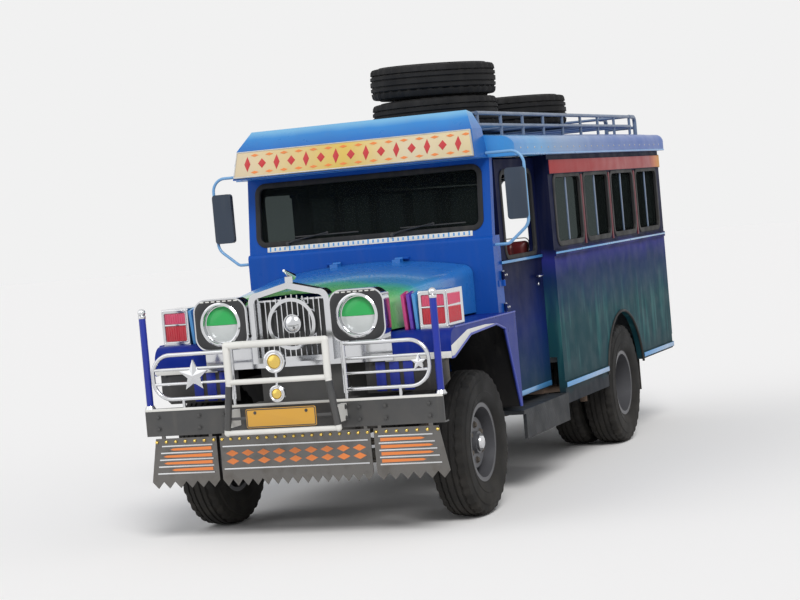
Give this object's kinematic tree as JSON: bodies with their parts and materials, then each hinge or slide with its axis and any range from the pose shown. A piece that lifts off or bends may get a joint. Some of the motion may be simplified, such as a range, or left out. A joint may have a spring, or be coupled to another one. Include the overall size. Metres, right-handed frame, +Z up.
{
  "type": "jeepney",
  "caption": "Open-tailed public transport vehicle with twin rear wheels, visor sign, guard bars, roof rack with spare tyres, bench seats and steered front wheels.",
  "frame": {"origin": "on the ground, at the middle of the bounding box's base", "axes": "+Y points from the nose to the tail, +X to the driver's side, which is the vehicle's left, and +Z up"},
  "size_m": [2.018, 5.61, 2.6439],
  "materials": {
    "chassis_black": "satin",
    "spring_steel": "weathered",
    "engine_iron": "rough",
    "exhaust_steel": "weathered",
    "floor_grey": "satin",
    "body_blue": "gloss",
    "light_blue": "gloss",
    "window_glass": "polished",
    "sign_yellow": "satin",
    "tyre": "matt",
    "bright_metal": "polished",
    "lamp_glass": "polished",
    "bumper_grey": "satin",
    "white_paint": "satin",
    "stainless": "polished",
    "seat_vinyl": "satin",
    "wheel_plastic": "satin",
    "rim_paint": "satin"
  },
  "bodies": {
    "jeepney_body": {"frame": "chassis_black", "leaf_springs": "spring_steel", "front_axle": "chassis_black", "rear_axle": "chassis_black", "engine": "engine_iron", "fuel_tank": "chassis_black", "exhaust": "exhaust_steel", "floor": "floor_grey", "cowl": "body_blue", "window_glass": "window_glass", "side_wall_left": "body_blue", "side_wall_right": "body_blue", "rear_wall": "body_blue", "roof": "light_blue", "visor": "light_blue", "sign_plates": "sign_yellow", "roof_rack": "light_blue", "spare_tyres": "tyre", "fenders": "body_blue", "grille_shell": "bright_metal", "lamp_housings": "bright_metal", "lamp_lenses": "lamp_glass", "front_bumper": "bumper_grey", "guard_frame": "white_paint", "guard_loops": "bright_metal", "front_apron": "stainless", "front_seat": "seat_vinyl", "benches": "seat_vinyl", "steps": "floor_grey", "mirrors": "light_blue"},
    "door_left": {"door_left": "body_blue"},
    "door_right": {"door_right": "body_blue"},
    "hood": {"hood": "body_blue"},
    "steering_wheel": {"steering_wheel": "wheel_plastic"},
    "knuckle_left": {"knuckle_left": "chassis_black"},
    "knuckle_right": {"knuckle_right": "chassis_black"},
    "tie_rod": {"tie_rod": "chassis_black"},
    "wheel_front_left": {"rim_front_left": "rim_paint", "tyre_front_left": "tyre"},
    "wheel_front_right": {"rim_front_right": "rim_paint", "tyre_front_right": "tyre"},
    "wheel_rear_left": {"rims_rear_left": "rim_paint", "tyres_rear_left": "tyre"},
    "wheel_rear_right": {"rims_rear_right": "rim_paint", "tyres_rear_right": "tyre"}
  },
  "joints": [
    {"name": "steer_left", "type": "hinge", "parent": "jeepney_body", "child": "knuckle_left", "pos_m": [0.628, -1.98, 0.405], "axis": [0, 0, 1], "range_deg": [-30, 30]},
    {"name": "steer_right", "type": "hinge", "parent": "jeepney_body", "child": "knuckle_right", "pos_m": [-0.628, -1.98, 0.405], "axis": [0, 0, 1], "range_deg": [-30, 30]},
    {"name": "tie_rod_left_end", "type": "hinge", "parent": "knuckle_left", "child": "tie_rod", "pos_m": [0.628, -1.8, 0.407], "axis": [0, 0, 1], "range_deg": [-30, 30]},
    {"name": "steering_wheel_turn", "type": "hinge", "parent": "jeepney_body", "child": "steering_wheel", "pos_m": [0.37, -0.95, 1.33], "axis": [0, 0.8493, 0.528], "range_deg": [-540, 540]},
    {"name": "front_left_spin", "type": "hinge", "parent": "knuckle_left", "child": "wheel_front_left", "pos_m": [0.76, -1.98, 0.405], "axis": [1, 0, 0], "continuous": true},
    {"name": "front_right_spin", "type": "hinge", "parent": "knuckle_right", "child": "wheel_front_right", "pos_m": [-0.76, -1.98, 0.405], "axis": [1, 0, 0], "continuous": true},
    {"name": "rear_left_spin", "type": "hinge", "parent": "jeepney_body", "child": "wheel_rear_left", "pos_m": [0.635, 1.05, 0.405], "axis": [1, 0, 0], "continuous": true},
    {"name": "rear_right_spin", "type": "hinge", "parent": "jeepney_body", "child": "wheel_rear_right", "pos_m": [-0.635, 1.05, 0.405], "axis": [1, 0, 0], "continuous": true},
    {"name": "door_left_hinge", "type": "hinge", "parent": "jeepney_body", "child": "door_left", "pos_m": [0.796, -1.23, 1.1], "axis": [0, 0, -1], "range_deg": [0, 70]},
    {"name": "door_right_hinge", "type": "hinge", "parent": "jeepney_body", "child": "door_right", "pos_m": [-0.796, -1.23, 1.1], "axis": [0, 0, 1], "range_deg": [0, 70]},
    {"name": "hood_hinge", "type": "hinge", "parent": "jeepney_body", "child": "hood", "pos_m": [0, -1.352, 1.44], "axis": [-1, 0, 0], "range_deg": [0, 60]}
  ],
  "couplings": [
    {"joint": "steer_right", "follows": "steer_left", "ratio": 1},
    {"joint": "tie_rod_left_end", "follows": "steer_left", "ratio": -1},
    {"joint": "steering_wheel_turn", "follows": "steer_left", "ratio": 18}
  ]
}
